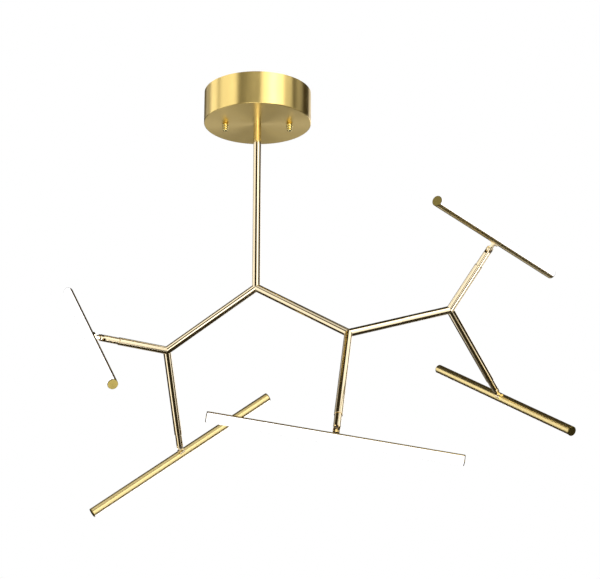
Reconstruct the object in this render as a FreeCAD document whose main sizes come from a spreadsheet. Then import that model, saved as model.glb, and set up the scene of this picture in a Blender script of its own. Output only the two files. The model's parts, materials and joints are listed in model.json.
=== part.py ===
"""Branching ceiling light: a drum canopy, a stem, a tree of mitred tubes and five swivelling light bars.

The frame is in millimetres, +Z up.  Its origin is the centre of the ceiling crossbar's top face, in the
plane of the ceiling.  The canopy's two finial nuts lie along X and the front of the light faces -Y.

Every hub is a flat Y: three tubes at 120 degrees, each one's end cut to a 60 degree point.  The stem
comes down to the first hub.  The left arm ends in a hub with two lights, the right arm in a hub with one
light and the far arm, and the far arm in a hub with the last two lights.
"""
import FreeCAD, Part
import math
import os
import re

import Sketcher
from FreeCAD import Placement, Rotation, Vector

document = FreeCAD.newDocument("branching_ceiling_light")

# ---------------------------------------------------------------------------------------------------
# Driving dimensions
# ---------------------------------------------------------------------------------------------------
DIMENSIONS = {
    # canopy
    "canopy_diameter": 177.0,
    "canopy_height": 55.0,
    "canopy_wall": 1.2,
    "canopy_edge": 1.0,
    "stud_spacing": 106.0,
    "stud_diameter": 4.0,
    "stud_hole": 4.8,
    "stud_below_canopy": 8.0,
    # ceiling crossbar
    "crossbar_length": 126.0,
    "crossbar_width": 20.0,
    "crossbar_thickness": 2.5,
    "slot_spacing": 69.85,
    "slot_length": 14.0,
    "slot_width": 4.8,
    "ground_screw_place": 20.0,
    "ground_screw_width": 7.0,
    "ground_screw_head": 3.0,
    # terminal block
    "block_length": 28.0,
    "block_width": 16.0,
    "block_height": 12.0,
    "way_pitch": 9.0,
    "way_diameter": 3.0,
    "way_height": 7.0,
    "screw_well_diameter": 3.6,
    "screw_well_depth": 4.0,
    "screw_well_place": 4.0,
    # stem fixing
    "nipple_diameter": 10.0,
    "nipple_bore": 7.0,
    "nipple_in_stem": 16.0,
    "nipple_nut_width": 14.0,
    "nipple_nut_height": 6.0,
    "nipple_above_nut": 2.0,
    # driver
    "driver_length": 90.0,
    "driver_width": 36.0,
    "driver_height": 24.0,
    "driver_offset": 44.0,
    "driver_ear": 9.0,
    "driver_ear_width": 14.0,
    "driver_ear_height": 2.0,
    "driver_lid_height": 0.8,
    "driver_lid_inset": 1.5,
    "driver_outlet": 5.0,
    "driver_outlet_depth": 6.0,
    "driver_screw_diameter": 3.0,
    "driver_screw_hole": 3.1,
    "driver_screw_head": 5.6,
    "driver_screw_head_height": 2.0,
    "driver_screw_slot": 0.8,
    "bracket_thickness": 1.5,
    "bracket_neck": 20.0,
    "bracket_back": 10.0,
    # finial nuts: three beads on a collar
    "upper_bead_diameter": 11.0,
    "middle_bead_diameter": 9.8,
    "lower_bead_diameter": 8.8,
    "bead_height": 5.2,
    "bead_pitch": 3.7,
    "finial_collar": 7.4,
    "finial_thread_depth": 8.2,
    # tubes
    "tube_diameter": 12.7,
    "tube_bore": 10.1,
    "stem_length": 282.0,
    "arm_length": 180.0,
    "short_stub": 86.0,
    "long_stub": 194.0,
    "seam_place": 94.0,
    "seam_gap": 0.5,
    "arm_spigot_diameter": 10.0,
    "arm_spigot_bore": 7.0,
    "arm_spigot_length": 44.0,
    # knuckle: spigot in the stub, plain barrel, forked tip
    "knuckle_diameter": 11.0,
    "knuckle_length": 36.0,
    "knuckle_gap": 0.3,
    "seam_edge": 0.3,
    "spigot_diameter": 9.98,
    "spigot_length": 15.0,
    "retainer_place": 7.5,
    "retainer_diameter": 3.0,
    "retainer_length": 2.1,
    "retainer_below_surface": 0.15,
    "retainer_groove": 7.6,
    "retainer_groove_width": 3.6,
    "wire_bore": 4.0,
    "fork_slot": 4.2,
    "fork_depth": 11.5,
    "fork_flats": 7.6,
    "pivot_setback": 5.5,
    "pivot_diameter": 3.0,
    "pivot_hole": 3.1,
    "pivot_head": 5.0,
    "pivot_head_height": 1.2,
    "pivot_nut_height": 1.1,
    "pivot_socket": 2.2,
    "pivot_socket_depth": 0.8,
    "pivot_play": 0.05,
    # light bar
    "pivot_to_bar": 20.5,
    "bar_diameter": 16.0,
    "bar_length": 371.0,
    "shell_wall": 1.0,
    "diffuser_wall": 1.3,
    "parting_gap": 0.1,
    "cap_thickness": 1.5,
    "cap_edge": 0.4,
    "cap_plug_length": 3.0,
    "cap_plug_diameter": 13.2,
    "board_length": 360.0,
    "board_width": 13.1,
    "board_thickness": 1.6,
    "board_depth": 2.2,
    "chip_size": 3.0,
    "chip_height": 0.7,
    "chip_count": 30,
    # bar bracket
    "tang_thickness": 3.6,
    "tang_eye": 9.0,
    "tang_neck": 6.0,
    "foot_length": 10.0,
    "foot_width": 10.0,
    "foot_thickness": 2.2,
    "foot_wire_hole": 2.0,
    "foot_wire_place": 3.2,
    # foot screw, up from inside the bar: depths are from the bar's axis
    "foot_screw_diameter": 2.5,
    "foot_screw_hole": 2.6,
    "foot_screw_head": 4.0,
    "foot_screw_head_height": 1.3,
    "foot_screw_socket": 1.6,
    "foot_screw_socket_depth": 0.8,
    "foot_screw_seat": 6.7,
    "foot_screw_reach": 11.8,
    "foot_screw_depth": 12.0,
    # angles, in degrees
    "arm_azimuth": 21.0,
    "left_twist": -66.7,
    "right_twist": -44.0,
    "far_twist": 48.5,
    "seam_slope": 50.0,
}

# Each light's place in the tree, its stub, and the angles it is set to: the swivel about the stub,
# from level, and the tilt at the knuckle, from square.
LIGHTS = {
    "left_high": {"hub": "left", "branch": 0, "stub": "short_stub", "swivel": -142.8, "tilt": 5.4},
    "left_low": {"hub": "left", "branch": 1, "stub": "long_stub", "swivel": 37.9, "tilt": -7.3},
    "middle": {"hub": "right", "branch": 1, "stub": "long_stub", "swivel": -165.8, "tilt": 1.1},
    "right_high": {"hub": "far", "branch": 0, "stub": "short_stub", "swivel": -185.2, "tilt": -9.9},
    "right_low": {"hub": "far", "branch": 1, "stub": "long_stub", "swivel": -37.2, "tilt": -12.7},
}
for light_name, setting in LIGHTS.items():
    DIMENSIONS[light_name + "_swivel"] = setting["swivel"]
    DIMENSIONS[light_name + "_tilt"] = setting["tilt"]

sheet = document.addObject("Spreadsheet::Sheet", "dims")
for row, (alias, value) in enumerate(DIMENSIONS.items(), start=1):
    sheet.set("A%d" % row, alias)
    sheet.set("B%d" % row, str(value))
    sheet.setAlias("B%d" % row, alias)
document.recompute()


ALIAS_REFERENCES = {alias: "<<dims>>." + alias for alias in DIMENSIONS}


def size(alias):
    """The value of one cell of the sheet."""
    return float(getattr(sheet, alias))


def bound(formula):
    """An expression with each sheet alias in it written as a reference to its cell."""
    return re.sub(r"[a-z][a-z_]+", lambda word: ALIAS_REFERENCES.get(word.group(), word.group()), formula)


# ---------------------------------------------------------------------------------------------------
# Helpers for bodies, sketches and features
# ---------------------------------------------------------------------------------------------------
exported = []


def keep(part, label):
    """Mark a finished sub-part, whose label names its file."""
    part.Label = label
    exported.append(part)
    return part


def new_body(name):
    return document.addObject("PartDesign::Body", name)


def new_sketch(body, plane_role, offset=0.0, turn=0.0):
    """A sketch on one of the body's origin planes, moved along its normal and turned about its y axis."""
    sketch = body.newObject("Sketcher::SketchObject", body.Name + "_sketch")
    plane = next(item for item in body.Origin.OriginFeatures if item.Role == plane_role)
    sketch.AttachmentSupport = [(plane, "")]
    sketch.MapMode = "FlatFace"
    sketch.AttachmentOffset = Placement(Vector(0, 0, offset), Rotation(Vector(0, 1, 0), turn))
    return sketch


def set_datum(sketch, constraint, formula):
    index = sketch.addConstraint(constraint)
    sketch.setExpression("Constraints[%d]" % index, bound(formula))


def pin_point(sketch, geometry, end, across, up):
    """Tie a point to the sketch's origin by two formulas."""
    set_datum(sketch, Sketcher.Constraint("DistanceX", -1, 1, geometry, end, 1.0), across)
    set_datum(sketch, Sketcher.Constraint("DistanceY", -1, 1, geometry, end, 1.0), up)


def value_of(formula):
    """The value of a formula of sheet aliases, for a sketch's first guess."""
    return float(sheet.evalExpression(bound(formula)))


def add_polygon(sketch, corners):
    """A closed outline whose corners are pairs of formulas."""
    first = sketch.GeometryCount
    points = [Vector(value_of(across), value_of(up), 0) for across, up in corners]
    count = len(points)
    for index in range(count):
        sketch.addGeometry(Part.LineSegment(points[index], points[(index + 1) % count]), False)
    for index in range(count):
        following = first + (index + 1) % count
        sketch.addConstraint(Sketcher.Constraint("Coincident", first + index, 2, following, 1))
    for index, (across, up) in enumerate(corners):
        pin_point(sketch, first + index, 1, across, up)


def add_rectangle(sketch, left, right, low, high):
    add_polygon(sketch, [(left, low), (right, low), (right, high), (left, high)])


def add_circle(sketch, diameter, across="0", up="0"):
    geometry = sketch.GeometryCount
    centre = Vector(value_of(across), value_of(up), 0)
    sketch.addGeometry(Part.Circle(centre, Vector(0, 0, 1), value_of(diameter) / 2), False)
    pin_point(sketch, geometry, 3, across, up)
    set_datum(sketch, Sketcher.Constraint("Diameter", geometry, 1.0), diameter)


def extrude(body, kind, sketch, length=None, symmetric=False, reverse=False):
    """A Pad or Pocket of a sketch; with no length it goes right through."""
    feature = body.newObject("PartDesign::" + kind, body.Name + "_" + kind.lower())
    feature.Profile = sketch
    if length is None:
        feature.Type = "ThroughAll"
    else:
        feature.setExpression("Length", bound(length))
    if symmetric:
        feature.SideType = "Symmetric"
    feature.Reversed = reverse
    sketch.Visibility = False
    return feature


def revolve(body, sketch):
    """Turn a sketch on the XZ plane a full circle about the body's Z axis."""
    feature = body.newObject("PartDesign::Revolution", body.Name + "_revolution")
    feature.Profile = sketch
    feature.ReferenceAxis = (sketch, ["V_Axis"])
    feature.Angle = 360.0
    return feature


def add_hexagon(sketch, width):
    """A hexagon about the origin, measured across its flats."""
    corner = "(%s) / 2 / cos(30 deg)" % width
    corners = []
    for angle in range(0, 360, 60):
        corners.append(("%s * cos(%d deg)" % (corner, angle), "%s * sin(%d deg)" % (corner, angle)))
    add_polygon(sketch, corners)


def hexagon_pad(body, width, low, high):
    """A hexagonal prism about Z."""
    sketch = new_sketch(body, "XY_Plane", offset=value_of(low))
    add_hexagon(sketch, width)
    return extrude(body, "Pad", sketch, "(%s) - (%s)" % (high, low))


def ring_pad(body, plane_role, outer, inner, length, offset=0.0, symmetric=False):
    sketch = new_sketch(body, plane_role, offset)
    add_circle(sketch, outer)
    if inner is not None:
        add_circle(sketch, inner)
    return extrude(body, "Pad", sketch, length, symmetric)


def group(name, parts):
    """Separate solids that share one node."""
    compound = document.addObject("Part::Compound", name)
    compound.Links = parts
    return compound


def frame_placement(origin, z_axis, x_axis):
    """The placement that carries the body's origin, Z and X to a point and two directions."""
    y_axis = z_axis.cross(x_axis)
    turn = FreeCAD.Matrix(x_axis.x, y_axis.x, z_axis.x, 0,
                          x_axis.y, y_axis.y, z_axis.y, 0,
                          x_axis.z, y_axis.z, z_axis.z, 0,
                          0, 0, 0, 1)
    return Placement(origin, Rotation(turn))


# ---------------------------------------------------------------------------------------------------
# The tree: hubs and directions
# ---------------------------------------------------------------------------------------------------
UP = Vector(0, 0, 1)


def level_and_upright(direction):
    """The level perpendicular of a direction, and the perpendicular that leans upright."""
    level = direction.cross(UP).normalize()
    return level, level.cross(direction)


def fork_directions(direction, twist):
    """The two directions that leave a hub, 60 degrees either side of the one that enters it."""
    level, upright = level_and_upright(direction)
    angle = math.radians(twist)
    side = upright * math.cos(angle) + level * math.sin(angle)
    forward = direction * math.cos(math.radians(60))
    aside = side * math.sin(math.radians(60))
    return forward + aside, forward - aside


azimuth = math.radians(size("arm_azimuth"))
right_way = Vector(math.cos(azimuth), -math.sin(azimuth), 0)
stem_top = Vector(0, 0, -size("canopy_height"))
first_hub = stem_top - UP * size("stem_length")

left_direction = right_way * -math.cos(math.radians(30)) - UP * math.sin(math.radians(30))
right_direction = right_way * math.cos(math.radians(30)) - UP * math.sin(math.radians(30))
left_branches = fork_directions(left_direction, size("left_twist"))
right_branches = fork_directions(right_direction, size("right_twist"))
far_direction = right_branches[0]
far_branches = fork_directions(far_direction, size("far_twist"))

left_hub = first_hub + left_direction * size("arm_length")
right_hub = first_hub + right_direction * size("arm_length")
far_hub = right_hub + far_direction * size("arm_length")

HUBS = {
    "left": {"centre": left_hub, "enters": left_direction, "leaves": left_branches},
    "right": {"centre": right_hub, "enters": right_direction, "leaves": right_branches},
    "far": {"centre": far_hub, "enters": far_direction, "leaves": far_branches},
}


def side_of(direction, other):
    """The unit perpendicular of a direction, in its plane with another direction."""
    return (other - direction * direction.dot(other)).normalize()


# ---------------------------------------------------------------------------------------------------
# Tubes
# ---------------------------------------------------------------------------------------------------
def tube(name, length, placement):
    body = new_body(name)
    ring_pad(body, "XY_Plane", "tube_diameter", "tube_bore", length)
    body.Placement = placement
    return body


def point_start(body):
    """Cut the tube's start to a 60 degree point, in the XZ plane."""
    sketch = new_sketch(body, "XZ_Plane")
    reach = "tube_diameter * tan(30 deg)"
    add_polygon(sketch, [("0", "0"), ("tube_diameter", reach), ("tube_diameter", "0 - tube_diameter"),
                         ("0 - tube_diameter", "0 - tube_diameter"), ("0 - tube_diameter", reach)])
    extrude(body, "Pocket", sketch, symmetric=True)


def point_end(body, length, side):
    """Cut the tube's end to a 60 degree point, in the plane of its axis and a direction."""
    local_side = body.Placement.Rotation.inverted().multVec(side)
    turn = math.degrees(math.atan2(local_side.y, local_side.x))
    sketch = new_sketch(body, "XZ_Plane", turn=turn)
    shoulder = length + " - tube_diameter * tan(30 deg)"
    past = length + " + tube_diameter"
    add_polygon(sketch, [("0", length), ("tube_diameter", shoulder), ("tube_diameter", past),
                         ("0 - tube_diameter", past), ("0 - tube_diameter", shoulder)])
    extrude(body, "Pocket", sketch, symmetric=True)


def make_stem():
    body = tube("stem_tube", "stem_length", frame_placement(stem_top, -UP, right_way))
    point_end(body, "stem_length", right_way)
    keep(body, "stem_tube")


def make_arm(name, start, direction, start_side, end_side):
    body = tube(name, "arm_length", frame_placement(start, direction, start_side))
    point_start(body)
    point_end(body, "arm_length", end_side)
    keep(body, name)


def seam_corners(shift, side):
    """The region on one side of the far arm's slanting seam: side is + beyond it, - before it."""
    slant = "tube_diameter * tan(seam_slope * 1 deg)"
    line = "seam_place %s seam_gap / 2" % shift
    outside = "arm_length + tube_diameter" if side == "+" else "0 - tube_diameter"
    return [("0 - tube_diameter", "%s - %s" % (line, slant)), ("tube_diameter", "%s + %s" % (line, slant)),
            ("tube_diameter", outside), ("0 - tube_diameter", outside)]


def cut_seam(body, shift, side):
    """Cut a tube along the slanting seam, which leans in the upright plane of the arm."""
    upright = level_and_upright(far_direction)[1]
    local_upright = body.Placement.Rotation.inverted().multVec(upright)
    turn = math.degrees(math.atan2(local_upright.y, local_upright.x))
    sketch = new_sketch(body, "XZ_Plane", turn=turn)
    add_polygon(sketch, seam_corners(shift, side))
    extrude(body, "Pocket", sketch, symmetric=True)


def make_far_arm():
    """The far arm is two tubes on an inner spigot, with a slanting seam between them."""
    placement = frame_placement(right_hub, far_direction, side_of(far_direction, right_direction))
    inner = tube("far_arm_inner", "arm_length", placement)
    point_start(inner)
    cut_seam(inner, "-", "+")
    keep(inner, "far_arm_inner")

    outer = tube("far_arm_outer", "arm_length", placement)
    point_end(outer, "arm_length", side_of(far_direction, far_branches[0]))
    cut_seam(outer, "+", "-")
    keep(outer, "far_arm_outer")

    spigot = new_body("far_arm_spigot")
    start = size("seam_place") - size("arm_spigot_length") / 2
    ring_pad(spigot, "XY_Plane", "arm_spigot_diameter", "arm_spigot_bore", "arm_spigot_length", start)
    spigot.Placement = placement
    keep(spigot, "far_arm_spigot")


def make_stub(light, direction, hub):
    """The tube from a hub to a light's knuckle, with a tapped hole in its upper side near the end."""
    stub_length = LIGHTS[light]["stub"]
    placement = frame_placement(hub["centre"], direction, side_of(direction, hub["enters"]))
    body = new_body("stub_" + light)
    profile = new_sketch(body, "XZ_Plane")
    inside, outside = "tube_bore / 2", "tube_diameter / 2"
    add_polygon(profile, [(inside, "0"), (outside, "0"), (outside, stub_length + " - seam_edge"),
                          (outside + " - seam_edge", stub_length), (inside, stub_length)])
    revolve(body, profile)
    body.Placement = placement
    point_start(body)
    upright = level_and_upright(direction)[1]
    local_upright = placement.Rotation.inverted().multVec(upright)
    turn = math.degrees(math.atan2(local_upright.y, local_upright.x)) - 90
    hole = new_sketch(body, "XZ_Plane", turn=turn)
    add_circle(hole, "retainer_diameter + 0.1", "0", stub_length + " - retainer_place")
    extrude(body, "Pocket", hole, "tube_diameter")
    keep(body, "stub_" + light)


def make_retaining_screw(stub_end, direction):
    """A grub screw through the stub's upper side, whose tip runs in the knuckle's groove."""
    screw = document.addObject("Part::Cylinder", "retaining_screw")
    screw.setExpression("Radius", bound("retainer_diameter / 2"))
    screw.setExpression("Height", bound("retainer_length"))
    upright = level_and_upright(direction)[1]
    tip = value_of("tube_diameter / 2 - retainer_length - retainer_below_surface")
    place = stub_end - direction * size("retainer_place") + upright * tip
    screw.Placement = frame_placement(place, upright, direction)
    return screw


# ---------------------------------------------------------------------------------------------------
# Canopy and what it holds
# ---------------------------------------------------------------------------------------------------
def make_canopy_shell():
    body = new_body("canopy_shell")
    profile = new_sketch(body, "XZ_Plane")
    outer = "canopy_diameter / 2"
    add_polygon(profile, [("0", "0 - canopy_height"), (outer, "0 - canopy_height"), (outer, "0"),
                          (outer + " - canopy_wall", "0"),
                          (outer + " - canopy_wall", "canopy_wall - canopy_height"),
                          ("0", "canopy_wall - canopy_height")])
    drum = revolve(body, profile)
    document.recompute()
    rim = [index for index, edge in enumerate(drum.Shape.Edges, start=1)
           if isinstance(edge.Curve, Part.Circle) and edge.Closed
           and abs(edge.Curve.Radius - size("canopy_diameter") / 2) < 0.01
           and abs(edge.CenterOfMass.z + size("canopy_height")) < 0.01]
    fillet = body.newObject("PartDesign::Fillet", "canopy_edge_round")
    fillet.Base = (drum, ["Edge%d" % index for index in rim])
    fillet.setExpression("Radius", bound("canopy_edge"))
    holes = new_sketch(body, "XY_Plane", offset=-size("canopy_height") + size("canopy_wall"))
    add_circle(holes, "nipple_diameter + 0.2")
    add_circle(holes, "stud_hole", "stud_spacing / 2")
    add_circle(holes, "stud_hole", "0 - stud_spacing / 2")
    extrude(body, "Pocket", holes)
    keep(body, "canopy_shell")


def make_crossbar():
    body = new_body("ceiling_crossbar")
    outline = new_sketch(body, "XY_Plane")
    add_rectangle(outline, "0 - crossbar_length / 2", "crossbar_length / 2",
                  "0 - crossbar_width / 2", "crossbar_width / 2")
    extrude(body, "Pad", outline, "crossbar_thickness", reverse=True)
    holes = new_sketch(body, "XY_Plane")
    middles = new_sketch(body, "XY_Plane")
    half_slot = "(slot_length - slot_width) / 2"
    for side in ("", "0 - "):
        add_circle(holes, "stud_diameter + 0.1", side + "stud_spacing / 2")
        add_circle(holes, "stud_diameter + 0.1", side + "ground_screw_place")
        inner_end = side + "(slot_spacing / 2 - %s)" % half_slot
        outer_end = side + "(slot_spacing / 2 + %s)" % half_slot
        add_circle(holes, "slot_width", inner_end)
        add_circle(holes, "slot_width", outer_end)
        add_rectangle(middles, inner_end, outer_end, "0 - slot_width / 2", "slot_width / 2")
    extrude(body, "Pocket", holes)
    extrude(body, "Pocket", middles)
    keep(body, "ceiling_crossbar")


def make_ground_screw():
    """The earth screw, driven up into the crossbar from inside the canopy."""
    body = new_body("ground_screw")
    place = Vector(size("ground_screw_place"), 0, -size("crossbar_thickness"))
    ring_pad(body, "XY_Plane", "stud_diameter", None, "crossbar_thickness")
    hexagon_pad(body, "ground_screw_width", "0 - ground_screw_head", "0")
    body.Placement = Placement(place, Rotation())
    keep(body, "ground_screw")


def make_terminal_block():
    """A three-way block under the middle of the crossbar, with two screw wells over each way."""
    body = new_body("terminal_block")
    outline = new_sketch(body, "XY_Plane")
    add_rectangle(outline, "0 - block_length / 2", "block_length / 2",
                  "0 - block_width / 2", "block_width / 2")
    extrude(body, "Pad", outline, "block_height", reverse=True)
    wells = new_sketch(body, "XY_Plane", offset=-size("block_height"))
    ways = new_sketch(body, "XZ_Plane")
    for across in ("0 - way_pitch", "0", "way_pitch"):
        add_circle(wells, "screw_well_diameter", across, "0 - screw_well_place")
        add_circle(wells, "screw_well_diameter", across, "screw_well_place")
        add_circle(ways, "way_diameter", across, "0 - way_height")
    extrude(body, "Pocket", wells, "screw_well_depth", reverse=True)
    extrude(body, "Pocket", ways, symmetric=True)
    body.Placement = Placement(Vector(0, 0, -size("crossbar_thickness")), Rotation())
    keep(body, "terminal_block")


def make_studs_and_finials():
    studs = []
    finials = []
    for side in (-1, 1):
        across = side * size("stud_spacing") / 2
        stud = document.addObject("Part::Cylinder", "canopy_stud")
        stud.setExpression("Radius", bound("stud_diameter / 2"))
        stud.setExpression("Height", bound("canopy_height + stud_below_canopy"))
        stud.Placement = Placement(Vector(across, 0, 0), Rotation(Vector(1, 0, 0), 180))
        studs.append(stud)
        finials.append(make_finial(Vector(across, 0, -size("canopy_height"))))
    keep(group("canopy_studs", studs), "canopy_studs")
    keep(group("finial_nuts", finials), "finial_nuts")


def primitive(kind, low, **formulas):
    """A Part primitive raised to a height, with its properties bound to formulas."""
    item = document.addObject("Part::" + kind, kind.lower())
    for name, formula in formulas.items():
        item.setExpression(name, bound(formula))
    item.setExpression("Placement.Base.z", bound(low))
    return item


def ellipsoid(centre, half_height, radius):
    """A round bead about Z."""
    return primitive("Ellipsoid", centre, Radius1=half_height, Radius2=radius, Radius3=radius)


def fused(name, parts):
    whole = document.addObject("Part::MultiFuse", name)
    whole.Shapes = parts
    return whole


def make_finial(place):
    """A nut of three beads, each smaller than the one above it, on a collar against the canopy."""
    pieces = [primitive("Cylinder", "0 - bead_height", Radius="finial_collar / 2", Height="bead_height")]
    for index, bead in enumerate(("upper", "middle", "lower")):
        centre = "0 - bead_height / 2 - %d * bead_pitch" % index
        across = bead + "_bead_diameter / 2"
        pieces.append(ellipsoid(centre, "bead_height / 2", across))
    nut = document.addObject("Part::Cut", "finial")
    nut.Base = fused("finial_beads", pieces)
    nut.Tool = primitive("Cylinder", "0 - finial_thread_depth", Radius="stud_diameter / 2 + 0.05",
                         Height="canopy_edge + finial_thread_depth")
    nut.Placement = Placement(place, Rotation())
    return nut


def make_nipple_and_nut():
    """A threaded nipple joins the stem to the canopy, with its nut on top of the driver bracket."""
    plate_top = "canopy_wall + bracket_thickness - canopy_height"
    nipple = new_body("stem_nipple")
    low = "0 - canopy_height - nipple_in_stem"
    high = plate_top + " + nipple_nut_height + nipple_above_nut"
    ring_pad(nipple, "XY_Plane", "nipple_diameter", "nipple_bore", "(%s) - (%s)" % (high, low),
             offset=value_of(low))
    keep(nipple, "stem_nipple")

    nut = new_body("nipple_nut")
    hexagon_pad(nut, "nipple_nut_width", plate_top, plate_top + " + nipple_nut_height")
    bore = new_sketch(nut, "XY_Plane")
    add_circle(bore, "nipple_diameter + 0.1")
    extrude(nut, "Pocket", bore)
    keep(nut, "nipple_nut")


def make_driver_bracket():
    """A T-shaped plate clamped by the nipple's nut, which carries the driver."""
    body = new_body("driver_bracket")
    floor = -size("canopy_height") + size("canopy_wall")
    outline = new_sketch(body, "XY_Plane", offset=floor)
    half_neck = "bracket_neck / 2"
    half_head = "driver_length / 2 + driver_ear"
    front = "driver_offset - driver_width / 2"
    back = "driver_offset + driver_width / 2"
    add_polygon(outline, [("0 - " + half_neck, "0 - bracket_back"), (half_neck, "0 - bracket_back"),
                          (half_neck, front), (half_head, front), (half_head, back),
                          ("0 - (%s)" % half_head, back), ("0 - (%s)" % half_head, front),
                          ("0 - " + half_neck, front)])
    add_circle(outline, "nipple_diameter + 0.2")
    for side in ("", "0 - "):
        add_circle(outline, "driver_screw_hole", side + "(driver_length / 2 + driver_ear / 2)",
                   "driver_offset")
    extrude(body, "Pad", outline, "bracket_thickness")
    keep(body, "driver_bracket")


def make_driver():
    """The constant-current driver: a box with an ear at each end and a lip round its lid."""
    body = new_body("led_driver")
    seat = -size("canopy_height") + size("canopy_wall") + size("bracket_thickness")
    half = "driver_width / 2"
    box = new_sketch(body, "XY_Plane")
    add_rectangle(box, "0 - driver_length / 2", "driver_length / 2", "0 - " + half, half)
    extrude(body, "Pad", box, "driver_height")
    ears = new_sketch(body, "XY_Plane")
    reach = "driver_length / 2 + driver_ear"
    add_rectangle(ears, "0 - (%s)" % reach, reach, "0 - driver_ear_width / 2", "driver_ear_width / 2")
    extrude(body, "Pad", ears, "driver_ear_height")
    holes = new_sketch(body, "XY_Plane", offset=size("driver_ear_height"))
    for side in ("", "0 - "):
        add_circle(holes, "driver_screw_hole", side + "(driver_length / 2 + driver_ear / 2)")
    extrude(body, "Pocket", holes)
    lid = new_sketch(body, "XY_Plane", offset=size("driver_height"))
    add_rectangle(lid, "driver_lid_inset - driver_length / 2", "driver_length / 2 - driver_lid_inset",
                  "driver_lid_inset - " + half, half + " - driver_lid_inset")
    extrude(body, "Pad", lid, "driver_lid_height")
    for side in (-1, 1):
        outlet = new_sketch(body, "YZ_Plane", offset=side * size("driver_length") / 2)
        add_circle(outlet, "driver_outlet", "0", "driver_height * 0.6")
        extrude(body, "Pocket", outlet, "driver_outlet_depth", reverse=side < 0)
    body.Placement = Placement(Vector(0, size("driver_offset"), seat), Rotation())
    keep(body, "led_driver")


def make_driver_screws():
    """Two slotted cheese-head screws down through the driver's ears and the bracket."""
    seat = -size("canopy_height") + size("canopy_wall")
    reach = size("driver_length") / 2 + size("driver_ear") / 2
    screws = []
    for side in (-1, 1):
        screw = new_body("driver_screw")
        ring_pad(screw, "XY_Plane", "driver_screw_diameter", None, "bracket_thickness + driver_ear_height")
        head_low = size("bracket_thickness") + size("driver_ear_height")
        ring_pad(screw, "XY_Plane", "driver_screw_head", None, "driver_screw_head_height", offset=head_low)
        slot = new_sketch(screw, "XY_Plane", offset=head_low + size("driver_screw_head_height"))
        add_rectangle(slot, "0 - driver_screw_head", "driver_screw_head",
                      "0 - driver_screw_slot / 2", "driver_screw_slot / 2")
        extrude(screw, "Pocket", slot, "driver_screw_head_height / 2")
        screw.Placement = Placement(Vector(side * reach, size("driver_offset"), seat), Rotation())
        screws.append(screw)
    keep(group("driver_screws", screws), "driver_screws")


# ---------------------------------------------------------------------------------------------------
# Knuckles and light bars
# ---------------------------------------------------------------------------------------------------
PIVOT_PLACE = "knuckle_length - pivot_setback"


def make_knuckle(light, placement):
    """A turned barrel whose spigot runs in the stub and whose forked tip holds the bar bracket.

    Its own Z runs out along the stub from the seam, and its X along the tilt pivot.
    """
    body = new_body("knuckle_" + light)
    profile = new_sketch(body, "XZ_Plane")
    bore = "wire_bore / 2"
    bore_top = "knuckle_length - fork_depth + 1"
    barrel = "knuckle_diameter / 2"
    spigot = "spigot_diameter / 2"
    groove = "retainer_groove / 2"
    groove_low = "0 - retainer_place - retainer_groove_width / 2"
    groove_high = "0 - retainer_place + retainer_groove_width / 2"
    add_polygon(profile, [(bore, "0 - spigot_length"), (spigot, "0 - spigot_length"), (spigot, groove_low),
                          (groove, groove_low), (groove, groove_high), (spigot, groove_high),
                          (spigot, "knuckle_gap"), (barrel + " - seam_edge", "knuckle_gap"),
                          (barrel, "knuckle_gap + seam_edge"),
                          (barrel, "knuckle_length"), ("0", "knuckle_length"), ("0", bore_top),
                          (bore, bore_top)])
    revolve(body, profile)

    fork = new_sketch(body, "XZ_Plane")
    floor = "knuckle_length - fork_depth"
    flats_low = PIVOT_PLACE + " - pivot_head / 2 - 0.5"
    past = "knuckle_length + 1"
    add_rectangle(fork, "0 - fork_slot / 2", "fork_slot / 2", floor, past)
    add_rectangle(fork, "fork_flats / 2", "knuckle_diameter", flats_low, past)
    add_rectangle(fork, "0 - knuckle_diameter", "0 - fork_flats / 2", flats_low, past)
    extrude(body, "Pocket", fork, symmetric=True)

    tip = new_sketch(body, "YZ_Plane")
    add_round_tip_waste(tip)
    extrude(body, "Pocket", tip, symmetric=True)

    hole = new_sketch(body, "YZ_Plane")
    add_circle(hole, "pivot_hole", "0", PIVOT_PLACE)
    extrude(body, "Pocket", hole, symmetric=True)
    body.Placement = placement
    return keep(body, "knuckle_" + light)


def add_round_tip_waste(sketch):
    """What is cut from the fork to round its tip: a rectangle less a half circle about the pivot."""
    pivot = value_of(PIVOT_PLACE)
    radius = value_of("knuckle_diameter / 2")
    wide = 2 * radius
    top = pivot + wide
    circle = Part.Circle(Vector(0, pivot, 0), Vector(0, 0, 1), radius)
    sketch.addGeometry(Part.ArcOfCircle(circle, 0, math.pi), False)
    corners = [Vector(-radius, pivot, 0), Vector(-wide, pivot, 0), Vector(-wide, top, 0),
               Vector(wide, top, 0), Vector(wide, pivot, 0), Vector(radius, pivot, 0)]
    for start, end in zip(corners, corners[1:]):
        sketch.addGeometry(Part.LineSegment(start, end), False)
    joins = [(0, 2, 1, 1), (1, 2, 2, 1), (2, 2, 3, 1), (3, 2, 4, 1), (4, 2, 5, 1), (5, 2, 0, 1)]
    for first, first_end, second, second_end in joins:
        sketch.addConstraint(Sketcher.Constraint("Coincident", first, first_end, second, second_end))
    pin_point(sketch, 0, 3, "0", PIVOT_PLACE)
    set_datum(sketch, Sketcher.Constraint("Radius", 0, 1.0), "knuckle_diameter / 2")
    pin_point(sketch, 1, 2, "0 - knuckle_diameter", PIVOT_PLACE)
    pin_point(sketch, 4, 2, "knuckle_diameter", PIVOT_PLACE)
    sketch.addConstraint(Sketcher.Constraint("Horizontal", 1))
    sketch.addConstraint(Sketcher.Constraint("Horizontal", 5))
    pin_point(sketch, 3, 1, "0 - knuckle_diameter", PIVOT_PLACE + " + knuckle_diameter")
    pin_point(sketch, 3, 2, "knuckle_diameter", PIVOT_PLACE + " + knuckle_diameter")


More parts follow.
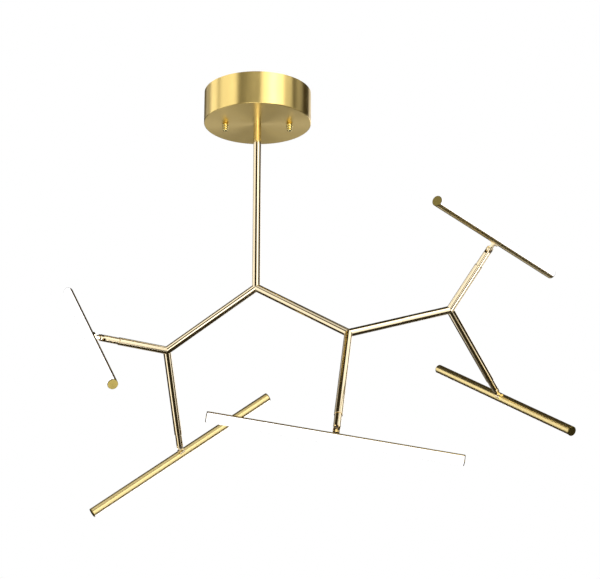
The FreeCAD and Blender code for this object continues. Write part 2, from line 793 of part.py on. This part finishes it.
def half_tube(name, wall, waste_low, waste_high):
    """One half of the round bar, with its own X along the bar: the other half is cut away."""
    body = new_body(name)
    length = "bar_length - 2 * cap_thickness"
    ring_pad(body, "YZ_Plane", "bar_diameter", "bar_diameter - 2 * " + wall, length, symmetric=True)
    waste = new_sketch(body, "YZ_Plane")
    add_rectangle(waste, "0 - bar_diameter", "bar_diameter", waste_low, waste_high)
    extrude(body, "Pocket", waste, symmetric=True)
    return body


def foot_holes(body):
    """The bracket's screw hole and the wire hole, cut downwards from the bar's axis."""
    screw_hole = new_sketch(body, "XY_Plane")
    add_circle(screw_hole, "foot_screw_hole")
    extrude(body, "Pocket", screw_hole, "foot_screw_depth")
    wire_hole = new_sketch(body, "XY_Plane")
    add_circle(wire_hole, "foot_wire_hole", "0", "foot_wire_place")
    extrude(body, "Pocket", wire_hole)


def make_bar_shell(light, placement):
    """The metal half of the bar, on the knuckle's side (its own -Z)."""
    body = half_tube("bar_shell_" + light, "shell_wall", "0", "bar_diameter")
    foot_holes(body)
    body.Placement = placement
    keep(body, "bar_shell_" + light)


def make_diffuser(light, placement):
    """The opal half of the bar, on the side away from the knuckle."""
    body = half_tube("diffuser_" + light, "diffuser_wall", "0 - bar_diameter", "parting_gap")
    body.Placement = placement
    keep(body, "diffuser_" + light)


def make_end_caps(light, placement):
    """Two discs with a chamfered rim, each with a plug that fits inside the bar."""
    caps = []
    for side in (-1, 1):
        cap = new_body("end_cap")
        profile = new_sketch(cap, "XZ_Plane")
        end = "bar_length / 2"
        seat = end + " - cap_thickness"
        plug_end = seat + " - cap_plug_length"
        plug, rim = "cap_plug_diameter / 2", "bar_diameter / 2"
        add_polygon(profile, [("0", plug_end), (plug, plug_end), (plug, seat), (rim, seat),
                              (rim, end + " - cap_edge"), (rim + " - cap_edge", end), ("0", end)])
        revolve(cap, profile)
        along = Placement(Vector(0, 0, 0), Rotation(Vector(0, 1, 0), side * 90))
        cap.Placement = placement.multiply(along)
        caps.append(cap)
    keep(group("end_caps", caps), "end_caps_" + light)


def make_led_board(light, placement):
    """The circuit board across the bar, with one row of LED packages facing the diffuser."""
    body = new_body("led_board_" + light)
    low = -size("board_depth")
    outline = new_sketch(body, "XY_Plane", offset=low)
    add_rectangle(outline, "0 - board_length / 2", "board_length / 2",
                  "0 - board_width / 2", "board_width / 2")
    extrude(body, "Pad", outline, "board_thickness")
    pitch = "board_length / chip_count"
    chip = new_sketch(body, "XY_Plane", offset=low + size("board_thickness"))
    centre = "%s / 2 - board_length / 2" % pitch
    add_rectangle(chip, centre + " - chip_size / 2", centre + " + chip_size / 2",
                  "0 - chip_size / 2", "chip_size / 2")
    first_chip = extrude(body, "Pad", chip, "chip_height")
    row = body.newObject("PartDesign::LinearPattern", "chip_row")
    row.Originals = [first_chip]
    row.Direction = (chip, ["H_Axis"])
    row.setExpression("Length", bound("board_length - board_length / chip_count"))
    row.setExpression("Occurrences", bound("chip_count"))
    body.Tip = row
    body.Placement = placement
    keep(body, "led_board_" + light)


def make_bar_bracket(light, placement):
    """The tang that turns in the fork and the small curved foot that sits on the bar's shell."""
    body = new_body("bar_bracket_" + light)
    ring_pad_at(body, "tang_eye", "tang_thickness", "0 - pivot_to_bar")
    neck = new_sketch(body, "XZ_Plane")
    foot_low = "0 - bar_diameter / 2 - foot_thickness"
    add_rectangle(neck, "0 - tang_neck / 2", "tang_neck / 2", "0 - pivot_to_bar", foot_low + " + 0.5")
    extrude(body, "Pad", neck, "tang_thickness", symmetric=True)
    ring_pad(body, "YZ_Plane", "bar_diameter + 2 * foot_thickness", "bar_diameter", "foot_length",
             symmetric=True)
    far_half = new_sketch(body, "YZ_Plane")
    add_rectangle(far_half, "0 - 2 * bar_diameter", "2 * bar_diameter", "0", "2 * bar_diameter")
    extrude(body, "Pocket", far_half, symmetric=True)
    flanks = new_sketch(body, "YZ_Plane")
    past = "2 * bar_diameter"
    add_rectangle(flanks, "foot_width / 2", past, "0 - " + past, "bar_diameter")
    add_rectangle(flanks, "0 - " + past, "0 - foot_width / 2", "0 - " + past, "bar_diameter")
    extrude(body, "Pocket", flanks, symmetric=True)
    foot_holes(body)
    eye = new_sketch(body, "XZ_Plane")
    add_circle(eye, "pivot_hole", "0", "0 - pivot_to_bar")
    extrude(body, "Pocket", eye, symmetric=True)
    body.Placement = placement
    keep(body, "bar_bracket_" + light)


def ring_pad_at(body, diameter, thickness, up):
    """A disc in the XZ plane, centred on Z at a given height."""
    sketch = new_sketch(body, "XZ_Plane")
    add_circle(sketch, diameter, "0", up)
    extrude(body, "Pad", sketch, thickness, symmetric=True)


def make_pivot_screw():
    """The tilt pivot: a socket screw along X, with its head on the fork's -X flat."""
    screw = new_body("pivot_screw")
    seat = -size("fork_flats") / 2 - size("pivot_play")
    top = seat - size("pivot_head_height")
    shank = "fork_flats + 2 * pivot_play + pivot_nut_height"
    ring_pad(screw, "YZ_Plane", "pivot_diameter", None, shank, offset=seat)
    ring_pad(screw, "YZ_Plane", "pivot_head", None, "pivot_head_height", offset=top)
    socket = new_sketch(screw, "YZ_Plane", offset=top)
    add_circle(socket, "pivot_socket")
    extrude(screw, "Pocket", socket, "pivot_socket_depth", reverse=True)
    return screw


def make_pivot_nut():
    """The hexagon nut on the fork's +X flat."""
    nut = new_body("pivot_nut")
    outline = new_sketch(nut, "YZ_Plane", offset=size("fork_flats") / 2 + size("pivot_play"))
    add_hexagon(outline, "pivot_head")
    add_circle(outline, "pivot_diameter")
    extrude(nut, "Pad", outline, "pivot_nut_height")
    return nut


def make_foot_screw():
    """The screw that holds the bracket, with its head inside the bar's shell."""
    screw = new_body("foot_screw")
    seat = -size("foot_screw_seat")
    shank = "foot_screw_reach - foot_screw_seat"
    ring_pad(screw, "XY_Plane", "foot_screw_diameter", None, shank, offset=-size("foot_screw_reach"))
    ring_pad(screw, "XY_Plane", "foot_screw_head", None, "foot_screw_head_height", offset=seat)
    socket = new_sketch(screw, "XY_Plane", offset=seat + size("foot_screw_head_height"))
    add_circle(socket, "foot_screw_socket")
    extrude(screw, "Pocket", socket, "foot_screw_socket_depth")
    return screw


def make_fasteners(light, bar_placement):
    """The pivot screw, its nut and the foot screw, which all move with the bar."""
    pivot = bar_placement.multiply(Placement(Vector(0, 0, -size("pivot_to_bar")), Rotation(UP, 90)))
    screw = make_pivot_screw()
    screw.Placement = pivot
    nut = make_pivot_nut()
    nut.Placement = pivot
    foot_screw = make_foot_screw()
    foot_screw.Placement = bar_placement
    keep(group("fasteners", [screw, nut, foot_screw]), "fasteners_" + light)


def make_light(light):
    """A stub, its knuckle and its bar, set to the light's own swivel and tilt."""
    setting = LIGHTS[light]
    hub = HUBS[setting["hub"]]
    direction = hub["leaves"][setting["branch"]]
    make_stub(light, direction, hub)

    swivel = math.radians(size(light + "_swivel"))
    tilt = math.radians(size(light + "_tilt"))
    level, upright = level_and_upright(direction)
    square = level * math.cos(swivel) + upright * math.sin(swivel)
    along_bar = square * math.cos(tilt) + direction * math.sin(tilt)
    outward = direction * math.cos(tilt) - square * math.sin(tilt)

    seam = hub["centre"] + direction * size(setting["stub"])
    retaining_screws.append(make_retaining_screw(seam, direction))
    pivot = seam + direction * value_of(PIVOT_PLACE)
    pivot_axis = square.cross(direction)
    knuckle_placement = frame_placement(seam, direction, pivot_axis)
    bar_placement = frame_placement(pivot + outward * size("pivot_to_bar"), outward, along_bar)

    make_knuckle(light, knuckle_placement)
    make_bar_bracket(light, bar_placement)
    make_fasteners(light, bar_placement)
    make_bar_shell(light, bar_placement)
    make_end_caps(light, bar_placement)
    make_diffuser(light, bar_placement)
    make_led_board(light, bar_placement)
    print("joint %s pivot_mm %s swivel_axis %s tilt_axis %s" % (
        light, [round(value, 4) for value in pivot], [round(value, 6) for value in direction],
        [round(value, 6) for value in pivot_axis]))


# ---------------------------------------------------------------------------------------------------
# Build, check and write
# ---------------------------------------------------------------------------------------------------
make_canopy_shell()
make_crossbar()
make_ground_screw()
make_terminal_block()
make_studs_and_finials()
make_nipple_and_nut()
make_driver_bracket()
make_driver()
make_driver_screws()
make_stem()
make_arm("left_arm", first_hub, left_direction, side_of(left_direction, UP),
         side_of(left_direction, left_branches[0]))
make_arm("right_arm", first_hub, right_direction, side_of(right_direction, UP),
         side_of(right_direction, right_branches[0]))
make_far_arm()
retaining_screws = []
for light_name in LIGHTS:
    make_light(light_name)
keep(group("retaining_screws", retaining_screws), "retaining_screws")

document.recompute()

for item in document.Objects:
    if "Invalid" in item.State or "Error" in item.State:
        raise RuntimeError("%s did not build: %s" % (item.Label, item.State))
for part in exported:
    if part.Shape.isNull() or not part.Shape.isValid():
        raise RuntimeError("%s has no valid shape" % part.Label)

os.makedirs("parts", exist_ok=True)
for part in exported:
    part.Shape.exportStep("parts/%s.step" % part.Label)
print("wrote %d sub-parts" % len(exported))
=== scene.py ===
"""Looks of the branching ceiling light: polished tubes, satin bars, opal diffusers and a studio."""
import json
import math

import bpy
from mathutils import Matrix, Vector

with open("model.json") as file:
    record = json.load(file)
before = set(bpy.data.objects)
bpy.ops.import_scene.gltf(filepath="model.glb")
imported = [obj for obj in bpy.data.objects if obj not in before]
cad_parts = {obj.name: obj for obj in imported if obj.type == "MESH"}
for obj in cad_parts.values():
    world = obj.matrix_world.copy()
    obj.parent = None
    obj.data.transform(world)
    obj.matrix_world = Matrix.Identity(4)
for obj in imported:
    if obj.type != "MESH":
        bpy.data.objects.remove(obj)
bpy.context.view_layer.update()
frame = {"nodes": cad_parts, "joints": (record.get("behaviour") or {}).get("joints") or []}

NODES = frame["nodes"]
JOINTS = {joint["name"]: joint for joint in frame["joints"]}
LIGHTS = ("left_high", "left_low", "middle", "right_high", "right_low")


# ---------------------------------------------------------------------------------------------------
# Shader helpers
# ---------------------------------------------------------------------------------------------------
# Noise is read between these two values, where most of it lies
NOISE_LOW = 0.3
NOISE_HIGH = 0.7
NOISE_ROUGHNESS = 0.6


class Shader:
    """A material whose nodes are added one call at a time."""

    def __init__(self, name):
        self.material = bpy.data.materials.new(name)
        self.material.use_nodes = True
        self.tree = self.material.node_tree
        self.surface = self.tree.nodes["Principled BSDF"]
        self.where = self.add("ShaderNodeTexCoord").outputs["Object"]

    def add(self, kind, **settings):
        node = self.tree.nodes.new(kind)
        for key, value in settings.items():
            setattr(node, key, value)
        return node

    def link(self, source, target):
        self.tree.links.new(source, target)

    def set(self, **values):
        for key, value in values.items():
            self.surface.inputs[key.replace("_", " ")].default_value = value

    def stretched(self, turn, scale):
        """The object's coordinates turned into a piece's own axes and stretched along them."""
        turned = self.add("ShaderNodeMapping")
        turned.inputs["Rotation"].default_value = turn
        self.link(self.where, turned.inputs["Vector"])
        stretch = self.add("ShaderNodeMapping")
        stretch.inputs["Scale"].default_value = scale
        self.link(turned.outputs["Vector"], stretch.inputs["Vector"])
        return stretch.outputs["Vector"]

    def noise(self, vector, scale, detail=4.0):
        node = self.add("ShaderNodeTexNoise")
        node.inputs["Scale"].default_value = scale
        node.inputs["Detail"].default_value = detail
        node.inputs["Roughness"].default_value = NOISE_ROUGHNESS
        self.link(vector, node.inputs["Vector"])
        return node.outputs["Fac"]

    def spread(self, value, low, high):
        """A noise value moved to another range."""
        node = self.add("ShaderNodeMapRange")
        node.inputs["From Min"].default_value = NOISE_LOW
        node.inputs["From Max"].default_value = NOISE_HIGH
        node.inputs["To Min"].default_value = low
        node.inputs["To Max"].default_value = high
        self.link(value, node.inputs["Value"])
        return node.outputs["Result"]

    def two_tones(self, value, dark, light):
        node = self.add("ShaderNodeValToRGB")
        node.color_ramp.elements[0].position = NOISE_LOW
        node.color_ramp.elements[1].position = NOISE_HIGH
        node.color_ramp.elements[0].color = (*dark, 1.0)
        node.color_ramp.elements[1].color = (*light, 1.0)
        self.link(value, node.inputs["Fac"])
        return node.outputs["Color"]

    def bump(self, height, distance, strength):
        node = self.add("ShaderNodeBump")
        node.inputs["Strength"].default_value = strength
        node.inputs["Distance"].default_value = distance
        self.link(height, node.inputs["Height"])
        return node.outputs["Normal"]


def shade(tone, factor):
    return tuple(channel * factor for channel in tone)


# Tones of the brass
BRASS = (0.83, 0.70, 0.41)
CANOPY_BRASS = (0.86, 0.65, 0.20)
# Painted shade: the end caps' tone is the brass darkened to about a fifth, a copy of it as if always in shade
CAP_BRASS_PAINTED_SHADE = (0.18, 0.14, 0.035)
BAR_BRASS = (0.75, 0.60, 0.245)
FINIAL_BRASS = (0.80, 0.68, 0.26)

# Roughness of the brass
TUBE_POLISH = 0.10
FINIAL_POLISH = 0.14
BAR_SATIN = 0.26
CANOPY_SATIN = 0.30
CAP_SATIN = 0.32

# Scales of the noises, in waves per metre, and depths of the bumps, in metres
BRASS_CLOUDS = 14.0
BRASS_HAZE = 60.0
OPAL_CLOUDS = 30.0
STEEL_MOTTLE = 350.0
PLASTIC_GRAIN = 900.0
BAR_GRAIN = (900.0, 60.0, 60.0)
GRAIN_DEPTH = 0.0000005
CLOUD_DEPTH = 0.00002
STEEL_DEPTH = 0.00004
PLASTIC_DEPTH = 0.00005


def brass(name, tone, roughness, grain=None, grain_turn=(0.0, 0.0, 0.0)):
    """Lacquered brass with a cloudy tone, and either a hazy polish or brush lines along a grain."""
    shader = Shader(name)
    shader.set(Metallic=1.0)
    cloud = shader.noise(shader.where, BRASS_CLOUDS)
    shader.link(shader.two_tones(cloud, shade(tone, 0.965), shade(tone, 1.02)),
                shader.surface.inputs["Base Color"])
    if grain is None:
        haze = shader.noise(shader.where, BRASS_HAZE)
        shader.link(shader.spread(haze, roughness * 0.92, roughness * 1.08),
                    shader.surface.inputs["Roughness"])
        shader.link(shader.bump(cloud, CLOUD_DEPTH, 0.3), shader.surface.inputs["Normal"])
    else:
        lines = shader.noise(shader.stretched(grain_turn, grain), 1.0, detail=3.0)
        shader.link(shader.spread(lines, roughness * 0.8, roughness * 1.2),
                    shader.surface.inputs["Roughness"])
        shader.link(shader.bump(lines, GRAIN_DEPTH, 0.6), shader.surface.inputs["Normal"])
    return shader


def spun_brass():
    """The canopy's brass, turned on a lathe: its shine spreads across the rings."""
    shader = brass("spun_brass", CANOPY_BRASS, CANOPY_SATIN)
    tangent = shader.add("ShaderNodeTangent", direction_type="RADIAL", axis="Z")
    shader.link(tangent.outputs["Tangent"], shader.surface.inputs["Tangent"])
    shader.set(Anisotropic=0.75, Anisotropic_Rotation=0.25)
    return shader.material


def bar_axes(light):
    """The bar's own axes at rest: along the bar, across it, and out through the diffuser."""
    swivel = Vector(JOINTS["swivel_" + light]["axis"]).normalized()
    tilt_joint = JOINTS["tilt_" + light]
    pivot_axis = Vector(tilt_joint["axis"]).normalized()
    low, high = tilt_joint["range_deg"]
    tilt = math.radians(-(low + high) / 2)
    square = swivel.cross(pivot_axis)
    along = square * math.cos(tilt) + swivel * math.sin(tilt)
    outward = swivel * math.cos(tilt) - square * math.sin(tilt)
    return along, outward.cross(along), outward


def bar_turn(light):
    """The rotation that brings a bar's own axes onto X, Y and Z."""
    return Matrix(bar_axes(light)).to_euler()


def bar_brass(light):
    """Brass brushed round the bar, so that the lines lie across it."""
    return brass("bar_brass_" + light, BAR_BRASS, BAR_SATIN, grain=BAR_GRAIN,
                 grain_turn=bar_turn(light)).material


def opal():
    """Opal acrylic lit from inside, a little warmer in random clouds."""
    shader = Shader("opal_acrylic")
    cloud = shader.noise(shader.where, OPAL_CLOUDS)
    glow = shader.two_tones(cloud, (1.0, 0.985, 0.955), (1.0, 0.995, 0.98))
    shader.link(glow, shader.surface.inputs["Base Color"])
    shader.link(glow, shader.surface.inputs["Emission Color"])
    shader.link(shader.spread(cloud, 0.28, 0.36), shader.surface.inputs["Roughness"])
    shader.set(Emission_Strength=0.6, Specular_IOR_Level=0.4)
    return shader.material


def steel(name, tone, roughness):
    """Plated steel with a mottled passivated surface."""
    shader = Shader(name)
    shader.set(Metallic=1.0)
    mottle = shader.noise(shader.where, STEEL_MOTTLE)
    shader.link(shader.two_tones(mottle, shade(tone, 0.85), shade(tone, 1.1)),
                shader.surface.inputs["Base Color"])
    shader.link(shader.spread(mottle, roughness * 0.8, roughness * 1.25), shader.surface.inputs["Roughness"])
    shader.link(shader.bump(mottle, STEEL_DEPTH, 0.4), shader.surface.inputs["Normal"])
    return shader.material


def plastic(name, tone, roughness):
    """Moulded plastic with a fine sparked texture."""
    shader = Shader(name)
    sparks = shader.noise(shader.where, PLASTIC_GRAIN)
    shader.link(shader.two_tones(sparks, shade(tone, 0.93), shade(tone, 1.0)),
                shader.surface.inputs["Base Color"])
    shader.link(shader.spread(sparks, roughness * 0.85, roughness * 1.15), shader.surface.inputs["Roughness"])
    shader.link(shader.bump(sparks, PLASTIC_DEPTH, 0.5), shader.surface.inputs["Normal"])
    return shader.material


def dress(node, material):
    node_object = NODES[node]
    node_object.data.materials.clear()
    node_object.data.materials.append(material)


def dress_everything():
    tube = brass("tube_brass", BRASS, TUBE_POLISH).material
    # The end caps get the darkened brass, which is painted shade
    cap = brass("cap_brass", CAP_BRASS_PAINTED_SHADE, CAP_SATIN).material
    zinc = steel("zinc_steel", (0.62, 0.63, 0.65), 0.35)
    dark = steel("dark_bronze", (0.20, 0.16, 0.10), 0.3)
    glowing = opal()
    shared = {
        "canopy_shell": spun_brass(), "ceiling_crossbar": zinc, "canopy_studs": zinc, "stem_nipple": zinc,
        "nipple_nut": zinc, "driver_bracket": zinc, "driver_screws": zinc, "far_arm_spigot": zinc,
        "ground_screw": plastic("earth_green", (0.05, 0.30, 0.10), 0.4),
        "led_driver": plastic("driver_case", (0.84, 0.84, 0.82), 0.5),
        "terminal_block": plastic("connector_plastic", (0.86, 0.82, 0.70), 0.45),
        "finial_nuts": brass("finial_brass", FINIAL_BRASS, FINIAL_POLISH).material,
        "stem_tube": tube, "left_arm": tube, "right_arm": tube,
        "far_arm_inner": tube, "far_arm_outer": tube, "retaining_screws": dark,
    }
    board = plastic("led_board_white", (0.88, 0.88, 0.84), 0.4)
    for light in LIGHTS:
        bar = bar_brass(light)
        shared.update({
            "stub_" + light: tube, "knuckle_" + light: tube, "bar_bracket_" + light: tube,
            "fasteners_" + light: dark, "bar_shell_" + light: bar, "end_caps_" + light: cap,
            "diffuser_" + light: glowing, "led_board_" + light: board,
        })
    for node, material in shared.items():
        dress(node, material)


# ---------------------------------------------------------------------------------------------------
# Studio
# ---------------------------------------------------------------------------------------------------
def towards(azimuth, elevation):
    """A direction: azimuth 0 is +Y and 90 is +X."""
    az, el = math.radians(azimuth), math.radians(elevation)
    return Vector((math.sin(az) * math.cos(el), math.cos(az) * math.cos(el), math.sin(el)))


# Soft panels round the light: azimuth, elevation, half width and half height in degrees, and radiance.
PANELS = (
    (146.0, 0.0, 25.0, 54.0, 1.40),
    (147.0, 26.0, 9.0, 24.0, 0.80),
    (-115.0, 1.0, 22.0, 36.0, 1.30),
    (-172.0, -24.0, 16.0, 20.0, 3.00),
    (164.0, 5.0, 8.0, 17.0, 0.40),
    (-40.0, -54.0, 14.0, 13.0, 1.50),
    (67.0, -34.0, 7.0, 10.0, 1.60),
    (70.0, 53.0, 10.0, 25.0, 1.45),
    (-74.0, 7.0, 13.0, 27.0, 1.40),
    (27.0, 0.0, 11.0, 22.0, 1.90),
    (-148.0, 53.0, 26.0, 18.0, 0.85),
    (-44.0, 30.0, 9.0, 20.0, 0.50),
    (125.0, 32.0, 24.0, 8.0, 1.80),
    (-2.0, -25.0, 15.0, 9.0, 0.55),
    (128.0, -58.0, 9.0, 8.0, 6.00),
)
PANEL_SOFTNESS = 4.0
DIM_BELOW = 0.03
DIM_ABOVE = 0.035
PANEL_TINT = (1.0, 1.0, 1.15)
DIM_TINT = (1.0, 0.80, 0.42)


class Sky:
    """The world's nodes: sums and products over the direction that a ray leaves in."""

    def __init__(self, world):
        world.use_nodes = True
        self.tree = world.node_tree
        self.ray = self.tree.nodes.new("ShaderNodeTexCoord").outputs["Generated"]

    def number(self, operation, *values):
        node = self.tree.nodes.new("ShaderNodeMath")
        node.operation = operation
        return self.filled(node, values).outputs["Value"]

    def along(self, direction):
        node = self.tree.nodes.new("ShaderNodeVectorMath")
        node.operation = "DOT_PRODUCT"
        return self.filled(node, (self.ray, direction)).outputs["Value"]

    def tinted(self, tint, amount):
        node = self.tree.nodes.new("ShaderNodeVectorMath")
        node.operation = "SCALE"
        node.inputs["Vector"].default_value = tint
        self.tree.links.new(amount, node.inputs["Scale"])
        return node.outputs["Vector"]

    def together(self, first, second):
        node = self.tree.nodes.new("ShaderNodeVectorMath")
        node.operation = "ADD"
        return self.filled(node, (first, second)).outputs["Vector"]

    def filled(self, node, values):
        for socket, value in zip(node.inputs, values):
            if isinstance(value, bpy.types.NodeSocket):
                self.tree.links.new(value, socket)
            else:
                socket.default_value = value
        return node

    def ramp(self, value, start, end, low, high):
        node = self.tree.nodes.new("ShaderNodeMapRange")
        node.interpolation_type = "SMOOTHSTEP"
        return self.filled(node, (value, start, end, low, high)).outputs["Result"]

    def edge(self, angle, half_angle):
        """1 inside the half angle, 0 outside it, with a soft edge."""
        soft = math.radians(PANEL_SOFTNESS) / 2
        limit = math.radians(half_angle)
        return self.ramp(self.number("ABSOLUTE", angle), limit - soft, limit + soft, 1.0, 0.0)

    def panel(self, azimuth, elevation, half_width, half_height):
        """How much of a soft panel a ray meets."""
        facing = towards(azimuth, elevation)
        right = towards(azimuth + 90.0, 0.0)
        across = self.number("ARCTAN2", self.along(right), self.along(facing))
        upward = self.number("ARCSINE", self.along(right.cross(facing)))
        return self.number("MULTIPLY", self.edge(across, half_width), self.edge(upward, half_height))


def set_world():
    """A white surround for the eye; reflections see soft panels in a dim warm room."""
    world = bpy.data.worlds.new("studio")
    sky = Sky(world)
    light = None
    for azimuth, elevation, half_width, half_height, radiance in PANELS:
        glow = sky.number("MULTIPLY", sky.panel(azimuth, elevation, half_width, half_height), radiance)
        light = glow if light is None else sky.number("ADD", light, glow)
    dim = sky.ramp(sky.along((0.0, 0.0, 1.0)), -1.0, 1.0, DIM_BELOW, DIM_ABOVE)
    room = sky.together(sky.tinted(PANEL_TINT, light), sky.tinted(DIM_TINT, dim))
    mix = sky.tree.nodes.new("ShaderNodeMix")
    mix.data_type = "RGBA"
    mix.inputs["B"].default_value = (1.0, 1.0, 1.0, 1.0)
    eye = sky.tree.nodes.new("ShaderNodeLightPath")
    sky.tree.links.new(eye.outputs["Is Camera Ray"], mix.inputs["Factor"])
    sky.tree.links.new(room, mix.inputs["A"])
    sky.tree.links.new(mix.outputs["Result"], sky.tree.nodes["Background"].inputs["Color"])
    bpy.context.scene.world = world


FLOOR_HALF_WIDTH = 40.0
FLOOR_LEVEL = -2.7


def lay_floor():
    """A pale floor at room height below the ceiling, which reflections don't see."""
    half, level = FLOOR_HALF_WIDTH, FLOOR_LEVEL
    mesh = bpy.data.meshes.new("floor")
    corners = [(-half, -half, level), (half, -half, level), (half, half, level), (-half, half, level)]
    mesh.from_pydata(corners, [], [(0, 1, 2, 3)])
    floor = bpy.data.objects.new("floor", mesh)
    bpy.context.scene.collection.objects.link(floor)
    floor.visible_glossy = False
    floor.visible_diffuse = False
    floor.visible_shadow = False
    shader = Shader("pale_floor")
    cloud = shader.noise(shader.where, 1.5)
    pale = shader.two_tones(cloud, (0.86, 0.86, 0.85), (0.9, 0.9, 0.89))
    shader.link(pale, shader.surface.inputs["Base Color"])
    shader.link(pale, shader.surface.inputs["Emission Color"])
    shader.set(Roughness=0.8, Emission_Strength=0.55)
    mesh.materials.append(shader.material)


SENSOR_WIDTH = 36.0
FOCAL_LENGTH = 88.8
CAMERA_PLACE = (0.0704, -2.2755, -1.0092)
CAMERA_LOOKS_UP = 16.38
CAMERA_REACH = 200.0


def place_camera():
    """Looks up at the light from in front of it and below, as from a standing person's chest."""
    lens = bpy.data.cameras.new("camera")
    lens.sensor_width = SENSOR_WIDTH
    lens.lens = FOCAL_LENGTH
    lens.clip_end = CAMERA_REACH
    camera = bpy.data.objects.new("camera", lens)
    camera.location = CAMERA_PLACE
    camera.rotation_euler = (math.radians(90.0 + CAMERA_LOOKS_UP), 0.0, 0.0)
    bpy.context.scene.collection.objects.link(camera)
    bpy.context.scene.camera = camera


place_camera()
set_world()
lay_floor()
dress_everything()
bpy.context.scene.view_settings.view_transform = "Standard"
